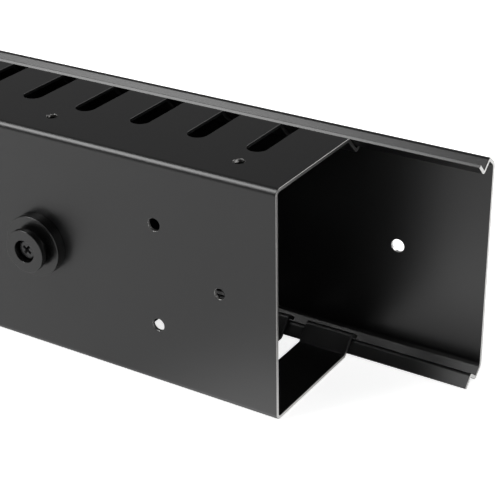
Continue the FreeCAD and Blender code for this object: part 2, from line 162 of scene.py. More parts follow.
def fold_group():
    """A fold of a flat blank on both sides of its middle, as a press brake makes it.

    The blank lies in X and Y with its thickness in Z. Beyond the line, the sheet goes round the
    radius at mid-thickness and on from there; toward is 1 for a fold to +Z and -1 for one to -Z."""
    tree = bpy.data.node_groups.new("press_brake_fold", "GeometryNodeTree")
    sockets = tree.interface
    sockets.new_socket("Geometry", in_out="INPUT", socket_type="NodeSocketGeometry")
    for name in ("Line", "Radius", "Angle", "Toward"):
        sockets.new_socket(name, in_out="INPUT", socket_type="NodeSocketFloat")
    sockets.new_socket("Geometry", in_out="OUTPUT", socket_type="NodeSocketGeometry")
    given = tree.nodes.new("NodeGroupInput").outputs
    place = add(tree, "GeometryNodeInputPosition").outputs[0]
    parts = add(tree, "ShaderNodeSeparateXYZ", in_0=place).outputs
    known = {"line": given[1], "radius": given[2], "angle": given[3], "toward": given[4]}
    known.update({"across": parts[1], "level": parts[2]})
    # Each step gives its result's name, its operation, and the values that it works on.
    steps = (
        ("distance", "ABSOLUTE", "across"),
        ("side", "SIGN", "across"),
        ("past line", "SUBTRACT", "distance", "line"),
        ("beyond", "MAXIMUM", "past line", 0.0),
        ("arc", "MULTIPLY", "radius", "angle"),
        ("on arc", "MINIMUM", "beyond", "arc"),
        ("turned", "DIVIDE", "on arc", "radius"),
        ("past arc", "SUBTRACT", "beyond", "arc"),
        ("leg", "MAXIMUM", "past arc", 0.0),
        ("level in fold", "MULTIPLY", "toward", "level"),
        ("reach", "SUBTRACT", "radius", "level in fold"),
        ("sine", "SINE", "turned"),
        ("cosine", "COSINE", "turned"),
        ("flat out", "MINIMUM", "distance", "line"),
        ("arc out", "MULTIPLY", "reach", "sine"),
        ("flat and arc out", "ADD", "flat out", "arc out"),
        ("leg out", "MULTIPLY", "leg", "cosine"),
        ("out", "ADD", "flat and arc out", "leg out"),
        ("new across", "MULTIPLY", "out", "side"),
        ("arc drop", "MULTIPLY", "reach", "cosine"),
        ("arc rise", "SUBTRACT", "radius", "arc drop"),
        ("leg rise", "MULTIPLY", "leg", "sine"),
        ("rise", "ADD", "arc rise", "leg rise"),
        ("new level", "MULTIPLY", "rise", "toward"),
    )
    for result, operation, *values in steps:
        links = {f"in_{i}": known.get(value, value) for i, value in enumerate(values)}
        known[result] = add(tree, "ShaderNodeMath", {"operation": operation}, **links).outputs[0]
    moved = add(
        tree, "ShaderNodeCombineXYZ", in_0=parts[0], in_1=known["new across"], in_2=known["new level"]
    ).outputs[0]
    shaped = add(tree, "GeometryNodeSetPosition", Geometry=given[0], Position=moved).outputs[0]
    add(tree, "NodeGroupOutput", in_0=shaped)
    return tree


press_fold = fold_group()


class Bend:
    """One bend of a section: where it starts on the flat, its radius, angle and direction.

    Its stations are the lines across the blank where the fold's facets meet."""

    def __init__(self, line, inside, angle, toward, steps):
        self.line = line
        self.radius = inside + SHEET / 2
        self.angle = angle
        self.toward = toward
        self.steps = steps

    def end(self):
        return self.line + self.radius * self.angle

    def stations(self):
        return [self.line + (self.end() - self.line) * i / self.steps for i in range(self.steps + 1)]


def flat_blank(name, bends, tip):
    """The flat strip as a closed plate, with a line across it for each step of each bend."""
    levels = [0.0]
    for bend in bends:
        levels += bend.stations()
    levels.append(tip)
    levels = [-level for level in reversed(levels[1:])] + levels
    points = []
    for y in levels:
        for z in (-SHEET / 2, SHEET / 2):
            points += [(-half_length, y, z), (half_length, y, z)]
    faces = []
    for i in range(len(levels) - 1):
        a, b = 4 * i, 4 * (i + 1)
        faces.append((a, b, b + 1, a + 1))
        faces.append((a + 2, a + 3, b + 3, b + 2))
        faces.append((a, a + 2, b + 2, b))
        faces.append((a + 1, b + 1, b + 3, a + 3))
    last = 4 * (len(levels) - 1)
    faces.append((0, 1, 3, 2))
    faces.append((last, last + 2, last + 3, last + 1))
    mesh = bpy.data.meshes.new(name)
    mesh.from_pydata(points, [], faces)
    return mesh


def prism(name, outline):
    """A closed cutter of this outline in X and Y, through the sheet and past both faces."""
    count = len(outline)
    points = [(x, y, z) for z in (-2 * SHEET, 2 * SHEET) for x, y in outline]
    faces = [tuple(reversed(range(count))), tuple(range(count, 2 * count))]
    faces += [(i, (i + 1) % count, count + (i + 1) % count, count + i) for i in range(count)]
    mesh = bpy.data.meshes.new(name)
    mesh.from_pydata(points, [], faces)
    return bpy.data.objects.new(name, mesh)


def marked_points(name, places, attribute, values):
    """Points that carry one number each, for Geometry Nodes to put things on."""
    mesh = bpy.data.meshes.new(name)
    mesh.from_pydata(places, [], [])
    mesh.attributes.new(attribute, "FLOAT", "POINT")
    for datum, value in zip(mesh.attributes[attribute].data, values):
        datum.value = value
    return bpy.data.objects.new(name, mesh)


def start_tree(name, inputs):
    """A Geometry Nodes tree that takes geometry and the named inputs, given as (label, kind).

    Returns the tree, the inputs as its nodes see them, and each named input's identifier."""
    tree = bpy.data.node_groups.new(name, "GeometryNodeTree")
    tree.interface.new_socket("Geometry", in_out="INPUT", socket_type="NodeSocketGeometry")
    identifiers = {}
    for label, kind in inputs:
        socket = tree.interface.new_socket(label, in_out="INPUT", socket_type=kind)
        identifiers[label] = socket.identifier
    tree.interface.new_socket("Geometry", in_out="OUTPUT", socket_type="NodeSocketGeometry")
    return tree, tree.nodes.new("NodeGroupInput").outputs, identifiers


def finish_tree(tree, made, material, **where):
    """Ends a tree in a plain, smooth mesh of this material; where may select some faces for it."""
    made = add(tree, "GeometryNodeRealizeInstances", in_0=made).outputs[0]
    made = add(tree, "GeometryNodeSetShadeSmooth", in_0=made).outputs[0]
    made = add(tree, "GeometryNodeSetMaterial", in_0=made, Material=material, **where).outputs[0]
    add(tree, "NodeGroupOutput", in_0=made)


def hold(name, mesh):
    """An object that holds a mesh while modifiers work on it."""
    holder = bpy.data.objects.new(f"{name}_start", mesh)
    bpy.context.scene.collection.objects.link(holder)
    return holder


def take_mesh(name, holder):
    """Takes the worked mesh off its holder, which goes with its modifiers."""
    depsgraph = bpy.context.evaluated_depsgraph_get()
    mesh = bpy.data.meshes.new_from_object(
        holder.evaluated_get(depsgraph), preserve_all_data_layers=True, depsgraph=depsgraph
    )
    bpy.data.objects.remove(holder)
    mesh.name = name
    return mesh


def make_mesh(name, start, tree, identifiers, values, edge=None):
    """Runs a tree on the start mesh, and rounds the result's sharp edges where edge is given."""
    holder = hold(name, start)
    making = holder.modifiers.new("making", "NODES")
    making.node_group = tree
    for label, value in values.items():
        making[identifiers[label]] = value
    if edge is not None:
        rounding = holder.modifiers.new("edge", "BEVEL")
        rounding.width = edge
        rounding.segments = 3
        rounding.limit_method = "ANGLE"
        rounding.angle_limit = ROUNDED_FROM
        rounding.use_clamp_overlap = False
        rounding.material = 0
    even = holder.modifiers.new("even_normals", "WEIGHTED_NORMAL")
    even.keep_sharp = True
    return take_mesh(name, holder)


def pressed_sheet(name, bends, tip, holes, bare, slot=None):
    """Cuts the holes and slots in a flat blank and folds it; bare is for its holes and ends."""
    inputs = [("Holes", "NodeSocketObject")]
    values = {"Holes": holes}
    if slot is not None:
        inputs += [
            ("Slot Punch", "NodeSocketObject"), ("Slot Count", "NodeSocketInt"),
            ("Slot Pitch", "NodeSocketFloat"),
        ]
        values.update({"Slot Punch": slot, "Slot Count": SLOT_COUNT, "Slot Pitch": SLOT_PITCH})
    tree, given, identifiers = start_tree(f"{name}_making", inputs)

    places = add(tree, "GeometryNodeObjectInfo", Object=given["Holes"]).outputs["Geometry"]
    radius = add(
        tree, "GeometryNodeInputNamedAttribute", {"data_type": "FLOAT"}, Name="hole_radius"
    ).outputs["Attribute"]
    drill = add(
        tree, "GeometryNodeMeshCylinder", {"fill_type": "NGON"},
        Vertices=HOLE_STEPS, Radius=1.0, Depth=4 * SHEET,
    ).outputs["Mesh"]
    scale = add(tree, "ShaderNodeCombineXYZ", in_0=radius, in_1=radius, in_2=1.0).outputs[0]
    drills = add(
        tree, "GeometryNodeInstanceOnPoints", Points=places, Instance=drill, Scale=scale
    ).outputs[0]
    drills = add(tree, "GeometryNodeRealizeInstances", in_0=drills).outputs[0]
    cutters = [add(tree, "GeometryNodeSetMaterial", in_0=drills, Material=bare).outputs[0]]
    if slot is not None:
        gaps = add(
            tree, "ShaderNodeMath", {"operation": "SUBTRACT"}, in_0=given["Slot Count"], in_1=1.0
        ).outputs[0]
        spread = add(
            tree, "ShaderNodeMath", {"operation": "MULTIPLY"}, in_0=given["Slot Pitch"], in_1=gaps
        ).outputs[0]
        half = add(tree, "ShaderNodeMath", {"operation": "MULTIPLY"}, in_0=spread, in_1=-0.5).outputs[0]
        start = add(tree, "ShaderNodeCombineXYZ", in_0=half).outputs[0]
        step = add(tree, "ShaderNodeCombineXYZ", in_0=given["Slot Pitch"]).outputs[0]
        row = add(
            tree, "GeometryNodeMeshLine", {"mode": "OFFSET"},
            Count=given["Slot Count"], Start_Location=start, Offset=step,
        ).outputs[0]
        punch = add(tree, "GeometryNodeObjectInfo", Object=given["Slot Punch"]).outputs["Geometry"]
        for turn in (0.0, math.pi):
            punched = add(
                tree, "GeometryNodeInstanceOnPoints", Points=row, Instance=punch, Rotation=(0, 0, turn)
            ).outputs[0]
            punched = add(tree, "GeometryNodeRealizeInstances", in_0=punched).outputs[0]
            cutters.append(add(tree, "GeometryNodeSetMaterial", in_0=punched, Material=coat).outputs[0])
    joined = add(tree, "GeometryNodeJoinGeometry")
    for cutter in cutters:
        tree.links.new(cutter, joined.inputs[0])
    coated = add(tree, "GeometryNodeSetMaterial", in_0=given["Geometry"], Material=coat).outputs[0]
    cut = add(
        tree, "GeometryNodeMeshBoolean", {"operation": "DIFFERENCE", "solver": "EXACT"},
        in_0=coated, in_1=joined.outputs[0],
    )
    made = cut.outputs["Mesh"]
    for bend in reversed(bends):
        made = add(
            tree, "GeometryNodeGroup", {"node_tree": press_fold}, in_0=made,
            Line=bend.line, Radius=bend.radius, Angle=bend.angle, Toward=bend.toward,
        ).outputs[0]
    # The strip's two ends, cut to length, are bare.
    along = add(
        tree, "ShaderNodeSeparateXYZ", in_0=add(tree, "GeometryNodeInputPosition").outputs[0]
    ).outputs[0]
    from_middle = add(tree, "ShaderNodeMath", {"operation": "ABSOLUTE"}, in_0=along).outputs[0]
    at_end = add(
        tree, "FunctionNodeCompare", {"data_type": "FLOAT", "operation": "GREATER_THAN"},
        in_0=from_middle, in_1=half_length - END_MARGIN,
    ).outputs[0]
    finish_tree(tree, made, bare, Selection=at_end)
    blank = flat_blank(f"{name}_blank", bends, tip)
    return make_mesh(name, blank, tree, identifiers, values, edge=COATED_EDGE)


def show(name, mesh, body, slot, *nodes):
    """Puts a finished mesh in the scene as the piece that stands for these CAD nodes."""
    piece = bpy.data.objects.new(name, mesh)
    bpy.context.scene.collection.objects.link(piece)
    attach(piece, body)
    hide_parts(*nodes)


wall_bend = Bend(half_width - WALL_BEND - SHEET, WALL_BEND, math.pi / 2, toward=1, steps=12)
side_flat = FINGER_BEND_DEPTH - WALL_BEND - SHEET
finger_bend = Bend(wall_bend.end() + side_flat, CREASE, FINGER_ANGLE, toward=1, steps=6)
valley_angle = FINGER_ANGLE + HOOK_ANGLE
valley_bend = Bend(finger_bend.end() + FINGER_LEG, CREASE, valley_angle, toward=-1, steps=8)
channel_tip = valley_bend.end() + HOOK_LEG

slot_radius = SLOT_WIDTH / 2
round_end = wall_bend.end() + SLOT_FLOOR - WALL_BEND - SHEET + slot_radius
slot_top = channel_tip + 2 * SHEET
slot_outline = [(slot_radius, slot_top), (-slot_radius, slot_top)]
for i in range(SLOT_ARC_STEPS + 1):
    turn = math.pi + math.pi * i / SLOT_ARC_STEPS
    slot_outline.append((slot_radius * math.cos(turn), round_end + slot_radius * math.sin(turn)))

side_hole_line = wall_bend.end() + SIDE_HOLE_DEPTH - WALL_BEND - SHEET
channel_holes = []
for way in (1, -1):
    tie_place = way * (half_length - TIE_FROM_END)
    side_place = way * (half_length - SIDE_FROM_END)
    pair_place = way * (half_length - PAIR_FROM_END)
    channel_holes.append((tie_place, 0, TIE_HOLE))
    channel_holes.append((way * button_place, 0, SCREW_HOLE))
    for up in (1, -1):
        channel_holes.append((pair_place, up * PAIR_SPACING / 2, PAIR_HOLE))
        channel_holes.append((tie_place, up * side_hole_line, TIE_HOLE))
        channel_holes.append((side_place, up * side_hole_line, TIE_HOLE))

hole_points = marked_points(
    "channel_hole_places", [(x, y, 0) for x, y, _ in channel_holes],
    "hole_radius", [radius for _, _, radius in channel_holes],
)
# The duct's holes and ends take the darker cut steel, which is painted shade.
channel_mesh = pressed_sheet(
    "slotted_duct", [wall_bend, finger_bend, valley_bend], channel_tip,
    hole_points, shaded_cut_steel, prism("slot_punch", slot_outline),
)
# The blank's Z is the duct's depth, and its Y the duct's width.
channel_mesh.transform(Matrix(((-1, 0, 0, 0), (0, 0, 1, SHEET / 2), (0, 1, 0, 0), (0, 0, 0, 1))))
show("slotted_duct", channel_mesh, "channel", "black_coated_steel", "channel")

# The cover: the same powder-coated sheet, folded into a shallow tray whose sloped edges end in V
# lips. The lips clip over the finger tips, and the cover slides along them.
FREE_LEG = 3.8 * MM
LONG_LEG = 3.3 * MM
LIP_SLOPE = 2.6 * MM
SLOPE_ANGLE = math.radians(38)
PLATE_BEND = 1.8 * MM
COVER_HOLE = 2.15 * MM
COVER_HOLE_FROM_END = 29.9 * MM

cover_low, cover_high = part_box("cover")
plate_bend = Bend(0, PLATE_BEND, math.pi / 2 - SLOPE_ANGLE, toward=1, steps=8)
ridge_bend = Bend(0, CREASE, SLOPE_ANGLE + HOOK_ANGLE, toward=1, steps=8)
lip_bend = Bend(0, CREASE, valley_angle, toward=-1, steps=8)
# How far the folds carry the lip's tip past the flat plate, which sets the plate's own width.
heading = tip_run = 0
for bend, leg in ((plate_bend, LIP_SLOPE), (ridge_bend, LONG_LEG), (lip_bend, FREE_LEG)):
    turned = heading + bend.toward * bend.angle
    tip_run += bend.toward * bend.radius * (math.sin(turned) - math.sin(heading)) + leg * math.cos(turned)
    heading = turned
plate_bend.line = cover_high.z - tip_run - SHEET / 2 * math.sin(heading)
ridge_bend.line = plate_bend.end() + LIP_SLOPE
lip_bend.line = ridge_bend.end() + LONG_LEG
cover_tip = lip_bend.end() + FREE_LEG

cover_hole_place = half_length - COVER_HOLE_FROM_END
hole_points = marked_points(
    "cover_hole_places", [(way * cover_hole_place, 0, 0) for way in (1, -1)],
    "hole_radius", [COVER_HOLE, COVER_HOLE],
)
cover_bends = [plate_bend, ridge_bend, lip_bend]
cover_mesh = pressed_sheet("clip_cover", cover_bends, cover_tip, hole_points, bright_steel)
# The cover faces the duct, so the blank's Z runs back from its plate.
cover_middle = (cover_low.x + cover_high.x) / 2
plate_middle = cover_high.y - SHEET / 2
cover_mesh.transform(Matrix(((1, 0, 0, cover_middle), (0, 0, -1, plate_middle), (0, 1, 0, 0), (0, 0, 0, 1))))
show("clip_cover", cover_mesh, "cover", "black_coated_steel", "cover")

# The mounting buttons: stepped pegs turned from steel bar, one near each end of the back wall,
# that hang in a rack's keyhole slots. They are coated smooth black, and screwed through the wall.
button_low, button_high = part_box("button_right")
COLLAR_RADIUS = 10.2 * MM
COLLAR_FACE = -4.0 * MM
NECK_RADIUS = 5.0 * MM
HEAD_BACK = -6.0 * MM
HEAD_RADIUS = 7.15 * MM
RECESS_RADIUS = 3.75 * MM
RECESS_FLOOR = -4.4 * MM
RIM = 0.2 * MM
SMALL_RIM = 0.15 * MM


def rounded(corners, steps=5):
    """A turned section as (radius, level) points, from corners of (radius, level, rounding)."""
    points = []
    for i, (radius, level, rounding) in enumerate(corners):
        corner = Vector((radius, level))
        if rounding == 0:
            points.append(corner)
            continue
        before = (Vector(corners[i - 1][:2]) - corner).normalized()
        after = (Vector(corners[(i + 1) % len(corners)][:2]) - corner).normalized()
        half = before.angle(after) / 2
        centre = corner + (before + after).normalized() * (rounding / math.sin(half))
        first = corner + before * (rounding / math.tan(half)) - centre
        last = corner + after * (rounding / math.tan(half)) - centre
        sweep = first.angle_signed(last)
        for k in range(steps + 1):
            turn = -sweep * k / steps
            points.append(centre + Matrix.Rotation(turn, 2) @ first)
    return points


def skin(name, rings, closed=False, capped=False):
    """A mesh through rings of points; closed joins the last ring to the first."""
    shell = bmesh.new()
    loops = [[shell.verts.new(point) for point in ring] for ring in rings]
    following = loops[1:] + loops[:1] if closed else loops[1:]
    for near, far in zip(loops, following):
        for i in range(len(near)):
            j = (i + 1) % len(near)
            shell.faces.new((near[i], near[j], far[j], far[i]))
    if capped:
        shell.faces.new(loops[0])
        shell.faces.new(loops[-1])
    bmesh.ops.remove_doubles(shell, verts=shell.verts, dist=1e-7)
    bmesh.ops.recalc_face_normals(shell, faces=shell.faces)
    mesh = bpy.data.meshes.new(name)
    shell.to_mesh(mesh)
    shell.free()
    return mesh


def round_ring(radius, level, steps=64):
    """A circle about the Y axis."""
    turns = [2 * math.pi * i / steps for i in range(steps)]
    return [(radius * math.cos(turn), level, radius * math.sin(turn)) for turn in turns]


def at_both_ends(name, mesh, material, turns=(0.0, 0.0)):
    """Stands one copy of a small part on each button's place, turned about its own axis."""
    tree, given, identifiers = start_tree(f"{name}_making", [("Places", "NodeSocketObject")])
    places = add(tree, "GeometryNodeObjectInfo", Object=given["Places"]).outputs["Geometry"]
    turn = add(
        tree, "GeometryNodeInputNamedAttribute", {"data_type": "FLOAT"}, Name="turn"
    ).outputs["Attribute"]
    about = add(tree, "ShaderNodeCombineXYZ", in_1=turn).outputs[0]
    pair = add(
        tree, "GeometryNodeInstanceOnPoints", Points=places, Instance=given["Geometry"], Rotation=about
    ).outputs[0]
    finish_tree(tree, pair, material)
    ends = marked_points(f"{name}_places", [(button_place, 0, 0), (-button_place, 0, 0)], "turn", turns)
    return make_mesh(name, mesh, tree, identifiers, {"Places": ends})


def coated_turned_steel():
    """Turned steel under a thin smooth black coat: glossier than the powder coat, and the
    lathe's fine rings still show in it."""
    material, tree, surface, place = start_material("smooth_black_coat_on_turned_steel")
    surface["Roughness"].default_value = 0.27
    surface["IOR"].default_value = 1.5
    parts = add(tree, "ShaderNodeSeparateXYZ", in_0=place).outputs
    # Both buttons' axes lie this far from the middle, so one set of rings serves both.
    across = add(tree, "ShaderNodeMath", {"operation": "ABSOLUTE"}, in_0=parts[0]).outputs[0]
    across = add(tree, "ShaderNodeMath", {"operation": "SUBTRACT"}, in_0=across, in_1=button_place).outputs[0]
    flat = add(tree, "ShaderNodeCombineXYZ", in_0=across, in_2=parts[2]).outputs[0]
    out = add(tree, "ShaderNodeVectorMath", {"operation": "LENGTH"}, in_0=flat).outputs["Value"]
    # The tool's marks are 0.2 mm apart, along the faces and along the sides.
    along = add(tree, "ShaderNodeMath", {"operation": "ADD"}, in_0=out, in_1=parts[1]).outputs[0]
    marks = add(
        tree, "ShaderNodeMath", {"operation": "MULTIPLY"}, in_0=along, in_1=2 * math.pi / (0.2 * MM)
    ).outputs[0]
    marks = add(tree, "ShaderNodeMath", {"operation": "SINE"}, in_0=marks).outputs[0]
    bump = add(tree, "ShaderNodeBump", Height=marks, Strength=0.15, Distance=0.002 * MM).outputs[0]
    tree.links.new(bump, surface["Normal"])
    # The coat's tone clouds over about 3 mm.
    cloud = add(tree, "ShaderNodeTexNoise", Vector=place, Scale=1 / (3 * MM), Detail=2.0).outputs["Fac"]
    tone = add(
        tree, "ShaderNodeMix", {"data_type": "RGBA"}, Factor=cloud,
        in_6=linear("#030303"), in_7=linear("#060606"),
    )
    tree.links.new(tone.outputs[2], surface["Base Color"])
    return material


button_section = rounded([
    (SCREW_HOLE, button_high.y, 0),
    (COLLAR_RADIUS, button_high.y, SMALL_RIM),
    (COLLAR_RADIUS, COLLAR_FACE, RIM),
    (NECK_RADIUS, COLLAR_FACE, SMALL_RIM),
    (NECK_RADIUS, HEAD_BACK, SMALL_RIM),
    (HEAD_RADIUS, HEAD_BACK, SMALL_RIM),
    (HEAD_RADIUS, button_low.y, RIM),
    (RECESS_RADIUS, button_low.y, SMALL_RIM),
    (RECESS_RADIUS, RECESS_FLOOR, SMALL_RIM),
    (SCREW_HOLE, RECESS_FLOOR, 0),
])
button_mesh = skin("button", [round_ring(radius, level) for radius, level in button_section], closed=True)
buttons = at_both_ends("turned_buttons", button_mesh, coated_turned_steel())
show("turned_buttons", buttons, "channel", "black_coated_button", "button_right", "button_left")

# The screws: pan heads with a cross recess, sunk in the buttons' faces. They are cold headed
# with rolled threads, and blackened. Each goes through its button and the wall into a nut.
screw_low, screw_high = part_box("screw_right")
HEAD_SEAT = RECESS_FLOOR
PAN_RADIUS = 3.4 * MM
PAN_ROUNDING = 0.9 * MM
THREAD_RADIUS = 1.75 * MM
THREAD_DEPTH = 0.35 * MM
THREAD_PITCH = 0.6 * MM
THREAD_STEPS = 6
SCREW_STEPS = 32
SCREW_SHARP = math.radians(40)
POINT_LENGTH = 0.5 * MM
POINT_TAPER = 0.8
CROSS_REACH = (1.75 * MM, 0.85 * MM)
CROSS_WIDTH = (0.5 * MM, 0.36 * MM)
CROSS_DEPTH = 1.3 * MM
CROSS_FLARE = 0.1 * MM
CROSS_MOUTH = 0.2 * MM
CROSS_TURN = math.radians(35)
FAR_CROSS_TURN = CROSS_TURN + 1.1


def thread_ring(level):
    """One ring of the shank: its radius follows the thread, which climbs as it goes round."""
    ring = []
    rise = min(1, (level - HEAD_SEAT) / THREAD_PITCH)
    taper = max(0, 1 - (screw_high.y - level) / POINT_LENGTH)
    for i in range(SCREW_STEPS):
        turn = 2 * math.pi * i / SCREW_STEPS
        climb = (level / THREAD_PITCH - i / SCREW_STEPS) % 1
        ridge = 1 - abs(2 * climb - 1)
        radius = THREAD_RADIUS - THREAD_DEPTH * (rise * (1 - ridge) + POINT_TAPER * taper)
        ring.append((radius * math.cos(turn), level, radius * math.sin(turn)))
    return ring


def cross_ring(level, reach, width):
    """The twelve corners of a cross about the Y axis."""
    quarter = [(reach, -width), (reach, width), (width, width)]
    ring = []
    for k in range(4):
        turn = Matrix.Rotation(k * math.pi / 2, 2)
        for corner in quarter:
            x, z = turn @ Vector(corner)
            ring.append((x, level, z))
    return ring


def blackened_screw_steel():
    """Black-oxide steel: a dark, slightly oily film, a little glossier than the coats."""
    material, tree, surface, place = start_material("black_oxide_screw_steel")
    surface["IOR"].default_value = 1.5
    # The film's blotches are about 0.5 mm across.
    blotch = add(tree, "ShaderNodeTexNoise", Vector=place, Scale=1 / (0.5 * MM), Detail=3.0).outputs["Fac"]
    tone = add(
        tree, "ShaderNodeMix", {"data_type": "RGBA"}, Factor=blotch,
        in_6=linear("#0b0b0c"), in_7=linear("#161617"),
    )
    tree.links.new(tone.outputs[2], surface["Base Color"])
    gloss = add(tree, "ShaderNodeMapRange", Value=blotch, To_Min=0.26, To_Max=0.36).outputs[0]
    tree.links.new(gloss, surface["Roughness"])
    bump = add(tree, "ShaderNodeBump", Height=blotch, Strength=0.2, Distance=0.004 * MM).outputs[0]
    tree.links.new(bump, surface["Normal"])
    return material


pan_section = rounded([
    (0, screw_low.y, 0),
    (PAN_RADIUS, screw_low.y, PAN_ROUNDING),
    (PAN_RADIUS, HEAD_SEAT, SMALL_RIM),
    (THREAD_RADIUS, HEAD_SEAT, 0),
])
screw_rings = [round_ring(radius, level, SCREW_STEPS) for radius, level in pan_section]
shank_length = screw_high.y - HEAD_SEAT
shank_steps = round(shank_length / THREAD_PITCH * THREAD_STEPS)
for k in range(1, shank_steps + 1):
    screw_rings.append(thread_ring(HEAD_SEAT + shank_length * k / shank_steps))
screw_rings.append(round_ring(0, screw_high.y, SCREW_STEPS))
screw_mesh = skin("screw", screw_rings)

recess = skin("cross_recess", [
    cross_ring(screw_low.y - CROSS_MOUTH, CROSS_REACH[0] + CROSS_FLARE, CROSS_WIDTH[0]),
    cross_ring(screw_low.y + CROSS_DEPTH, CROSS_REACH[1], CROSS_WIDTH[1]),
], capped=True)
holder = hold("screw", screw_mesh)
cross_cut = holder.modifiers.new("cross", "BOOLEAN")
cross_cut.object = bpy.data.objects.new("cross_recess", recess)
cross_cut.solver = "EXACT"
screw_mesh = take_mesh("screw", holder)
screw_mesh.set_sharp_from_angle(angle=SCREW_SHARP)
cross_turns = (CROSS_TURN, FAR_CROSS_TURN)
screws = at_both_ends("cross_recess_screws", screw_mesh, blackened_screw_steel(), turns=cross_turns)
show("cross_recess_screws", screws, "channel", "black_screw_steel", "screw_right", "screw_left")

# The lock washers: split rings of flattened steel wire, zinc plated. The nuts clamp them flat
# against the inside of the back wall, with the two cut ends side by side.
washer_low, washer_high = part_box("lock_washer_right")
WASHER_INSIDE = 1.9 * MM
WASHER_OUTSIDE = 3.3 * MM
WASHER_SPLIT = 0.8 * MM
SPLIT_SLANT = math.radians(14)
WASHER_STEPS = 48
WASHER_SHARP = math.radians(50)


def zinc_plate():
    """Bright zinc on steel: a pale, slightly bluish metal with a soft mottle and a mild gloss."""
    material, tree, surface, place = start_material("bright_zinc_plate")
    surface["Metallic"].default_value = 1.0
    # The plate's mottle is about 0.8 mm across.
    mottle = add(tree, "ShaderNodeTexNoise", Vector=place, Scale=1 / (0.8 * MM), Detail=3.0).outputs["Fac"]
    tone = add(
        tree, "ShaderNodeMix", {"data_type": "RGBA"}, Factor=mottle,
        in_6=linear("#b4b8bc"), in_7=linear("#d2d4d6"),
    )
    tree.links.new(tone.outputs[2], surface["Base Color"])
    gloss = add(tree, "ShaderNodeMapRange", Value=mottle, To_Min=0.24, To_Max=0.38).outputs[0]
    tree.links.new(gloss, surface["Roughness"])
    bump = add(tree, "ShaderNodeBump", Height=mottle, Strength=0.2, Distance=0.006 * MM).outputs[0]
    tree.links.new(bump, surface["Normal"])
    return material


zinc = zinc_plate()
washer_section = rounded([
    (WASHER_INSIDE, washer_low.y, SMALL_RIM),
    (WASHER_OUTSIDE, washer_low.y, SMALL_RIM),
    (WASHER_OUTSIDE, washer_high.y, SMALL_RIM),
    (WASHER_INSIDE, washer_high.y, SMALL_RIM),
], steps=3)
washer_middle = (washer_low.y + washer_high.y) / 2
washer_rings = []
for k in range(WASHER_STEPS + 1):
    ring = []
    for radius, level in washer_section:
        # The cut is as wide at every radius, and slants through the thickness.
        half_cut = WASHER_SPLIT / 2 / radius
        slant = (level - washer_middle) * math.tan(SPLIT_SLANT) / radius
        turn = half_cut + slant + (2 * math.pi - 2 * half_cut) * k / WASHER_STEPS
        ring.append((radius * math.cos(turn), level, radius * math.sin(turn)))
    washer_rings.append(ring)
washer_mesh = skin("washer", washer_rings, capped=True)
washer_mesh.set_sharp_from_angle(angle=WASHER_SHARP)
washers = at_both_ends("split_lock_washers", washer_mesh, zinc)
show("split_lock_washers", washers, "channel", "zinc_plated_steel", "lock_washer_right", "lock_washer_left")

# The nuts: hexagons of zinc-plated steel, chamfered on both faces, run down on the screws'
# ends inside the duct.
nut_low, nut_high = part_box("nut_right")
ACROSS_FLATS = 7.9 * MM
NUT_BORE = 1.8 * MM
NUT_COUNTERSINK = 0.3 * MM
NUT_CHAMFER = math.radians(30)
FACE_RADIUS = 0.94 * ACROSS_FLATS / 2
NUT_STEPS = 72
NUT_SHARP = math.radians(20)


def hexagon_ring(level):
    """A ring on the nut's flats, pulled in from the level by the faces' round chamfers."""
    inward = 1 if level < (nut_low.y + nut_high.y) / 2 else -1
    ring = []
    for i in range(NUT_STEPS):
        turn = 2 * math.pi * i / NUT_STEPS
        radius = ACROSS_FLATS / 2 / math.cos(turn % (math.pi / 3) - math.pi / 6)
        drop = (radius - FACE_RADIUS) * math.tan(NUT_CHAMFER)
        ring.append((radius * math.cos(turn), level + inward * drop, radius * math.sin(turn)))
    return ring


nut_rings = [
    round_ring(NUT_BORE, nut_low.y + NUT_COUNTERSINK, NUT_STEPS),
    round_ring(NUT_BORE + NUT_COUNTERSINK, nut_low.y, NUT_STEPS),
    round_ring(FACE_RADIUS, nut_low.y, NUT_STEPS),
    hexagon_ring(nut_low.y),
    hexagon_ring(nut_high.y),
    round_ring(FACE_RADIUS, nut_high.y, NUT_STEPS),
    round_ring(NUT_BORE + NUT_COUNTERSINK, nut_high.y, NUT_STEPS),
    round_ring(NUT_BORE, nut_high.y - NUT_COUNTERSINK, NUT_STEPS),
]
nut_mesh = skin("nut", nut_rings, closed=True)
nut_mesh.set_sharp_from_angle(angle=NUT_SHARP)
nuts = at_both_ends("hexagon_nuts", nut_mesh, zinc)
show("hexagon_nuts", nuts, "channel", "zinc_plated_steel", "nut_right", "nut_left")

# The studio: a sheet of white paper that the duct lies on, with an even white surround. One
# large softbox hangs to the camera's left, with weaker ones to its right and behind the duct.
FLOOR_REACH = 6.0
PAPER_LIFT = 0.8
MIRRORED_LIFT = 0.4
# A painted pool of light: extra glow on the paper near the duct's end, for mirrored rays only.
PAINTED_POOL_OF_LIGHT = 1.0
POOL_OF_LIGHT_RADIUS = 60 * MM


